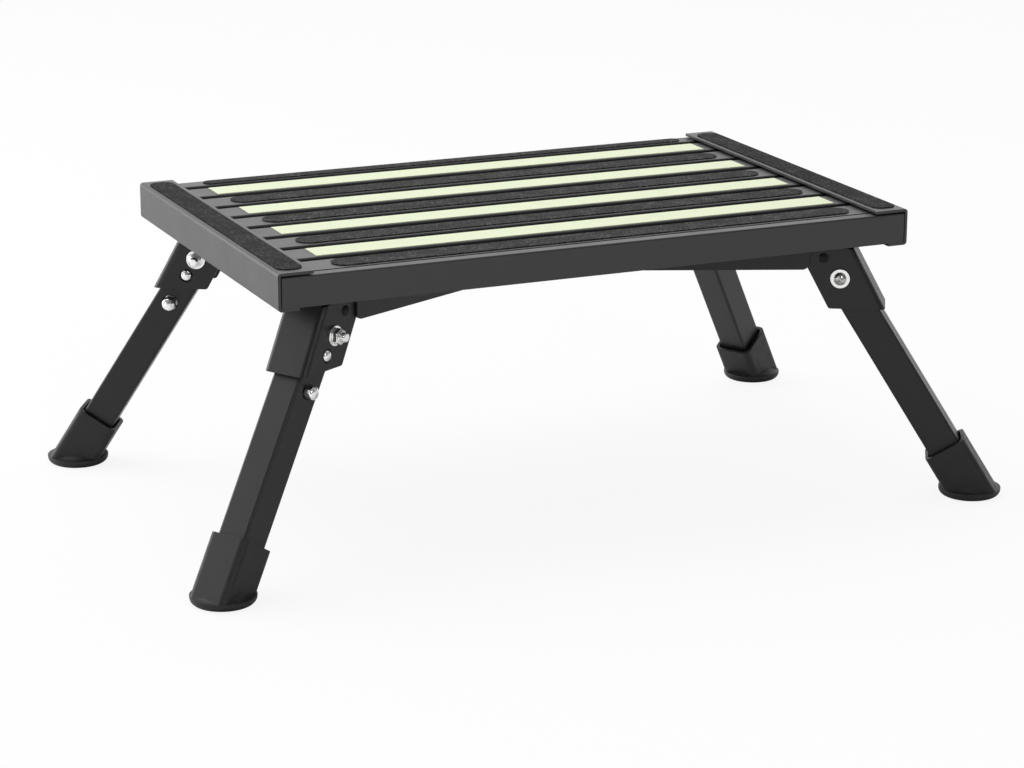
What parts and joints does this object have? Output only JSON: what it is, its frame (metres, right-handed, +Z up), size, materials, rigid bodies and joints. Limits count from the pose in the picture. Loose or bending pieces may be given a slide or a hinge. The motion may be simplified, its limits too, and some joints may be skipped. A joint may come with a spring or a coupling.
{
  "type": "folding caravan entry step",
  "caption": "Free-standing folding step with a ribbed aluminium tread, grip and luminous strips, splayed square-tube legs and round rubber feet.",
  "frame": {"origin": "centre of the box round the standing step, on the floor under the four feet", "axes": "+X to the right along the ribs, +Y to the back towards the caravan, +Z up"},
  "size_m": [0.625, 0.3864, 0.2167],
  "materials": {
    "powder_coat": "fine satin black powder coat on aluminium and steel",
    "grip_tape": "coarse mineral grit, matt",
    "luminous_strip": "pale yellow-green luminous film with a fine tooth",
    "foot_rubber": "moulded matt black rubber",
    "plated_steel": "bright nickel plating",
    "spring_steel": "bright plated spring steel",
    "liner_nylon": "black nylon",
    "black_rivet": "black zinc, satin"
  },
  "bodies": {
    "platform": {"end_channel_left": "powder_coat", "end_channel_right": "powder_coat", "front_rail": "powder_coat", "deck_plank_1": "powder_coat", "deck_plank_2": "powder_coat", "deck_plank_3": "powder_coat", "back_rail": "powder_coat", "end_grip_left": "grip_tape", "end_grip_right": "grip_tape", "deck_grip_1": "grip_tape", "deck_grip_2": "grip_tape", "deck_grip_3": "grip_tape", "deck_grip_4": "grip_tape", "deck_grip_5": "grip_tape", "glow_strip_1": "luminous_strip", "glow_strip_2": "luminous_strip", "glow_strip_3": "luminous_strip", "glow_strip_4": "luminous_strip", "leg_channel_front_left": "powder_coat", "leg_channel_back_left": "powder_coat", "leg_channel_front_right": "powder_coat", "leg_channel_back_right": "powder_coat", "leg_bracket_front_left": "powder_coat", "leg_bracket_back_left": "powder_coat", "leg_bracket_front_right": "powder_coat", "leg_bracket_back_right": "powder_coat", "pivot_bolts": "plated_steel", "pivot_nuts": "plated_steel", "pivot_washers": "plated_steel", "pivot_liners": "liner_nylon", "flange_rivets": "black_rivet", "deck_rivets": "black_rivet", "channel_rivets": "black_rivet"},
    "leg_front_left": {"leg_tube_front_left": "powder_coat", "rubber_foot_front_left": "foot_rubber", "pivot_bush_front_left": "plated_steel"},
    "clip_front_left": {"snap_clip_front_left": "spring_steel"},
    "leg_back_left": {"leg_tube_back_left": "powder_coat", "rubber_foot_back_left": "foot_rubber", "pivot_bush_back_left": "plated_steel"},
    "clip_back_left": {"snap_clip_back_left": "spring_steel"},
    "leg_front_right": {"leg_tube_front_right": "powder_coat", "rubber_foot_front_right": "foot_rubber", "pivot_bush_front_right": "plated_steel"},
    "clip_front_right": {"snap_clip_front_right": "spring_steel"},
    "leg_back_right": {"leg_tube_back_right": "powder_coat", "rubber_foot_back_right": "foot_rubber", "pivot_bush_back_right": "plated_steel"},
    "clip_back_right": {"snap_clip_back_right": "spring_steel"}
  },
  "joints": [
    {"name": "fold_front_left", "type": "hinge", "parent": "platform", "child": "leg_front_left", "pos_m": [-0.204, -0.12, 0.1652], "axis": [0.507, -0.8619, 0], "range_deg": [0, 122]},
    {"name": "release_front_left", "type": "slide", "parent": "leg_front_left", "child": "clip_front_left", "axis": [-0.507, 0.8619, 0], "range_m": [0, 0.004], "stiffness_N_per_m": 1500, "springref_m": -0.002, "deforming": ["snap_clip_front_left"]},
    {"name": "fold_back_left", "type": "hinge", "parent": "platform", "child": "leg_back_left", "pos_m": [-0.204, 0.12, 0.1652], "axis": [-0.507, -0.8619, 0], "range_deg": [0, 122]},
    {"name": "release_back_left", "type": "slide", "parent": "leg_back_left", "child": "clip_back_left", "axis": [0.507, 0.8619, 0], "range_m": [0, 0.004], "stiffness_N_per_m": 1500, "springref_m": -0.002, "deforming": ["snap_clip_back_left"]},
    {"name": "fold_front_right", "type": "hinge", "parent": "platform", "child": "leg_front_right", "pos_m": [0.204, -0.12, 0.1652], "axis": [0.507, 0.8619, 0], "range_deg": [0, 122]},
    {"name": "release_front_right", "type": "slide", "parent": "leg_front_right", "child": "clip_front_right", "axis": [-0.507, -0.8619, 0], "range_m": [0, 0.004], "stiffness_N_per_m": 1500, "springref_m": -0.002, "deforming": ["snap_clip_front_right"]},
    {"name": "fold_back_right", "type": "hinge", "parent": "platform", "child": "leg_back_right", "pos_m": [0.204, 0.12, 0.1652], "axis": [-0.507, 0.8619, 0], "range_deg": [0, 122]},
    {"name": "release_back_right", "type": "slide", "parent": "leg_back_right", "child": "clip_back_right", "axis": [0.507, -0.8619, 0], "range_m": [0, 0.004], "stiffness_N_per_m": 1500, "springref_m": -0.002, "deforming": ["snap_clip_back_right"]}
  ]
}
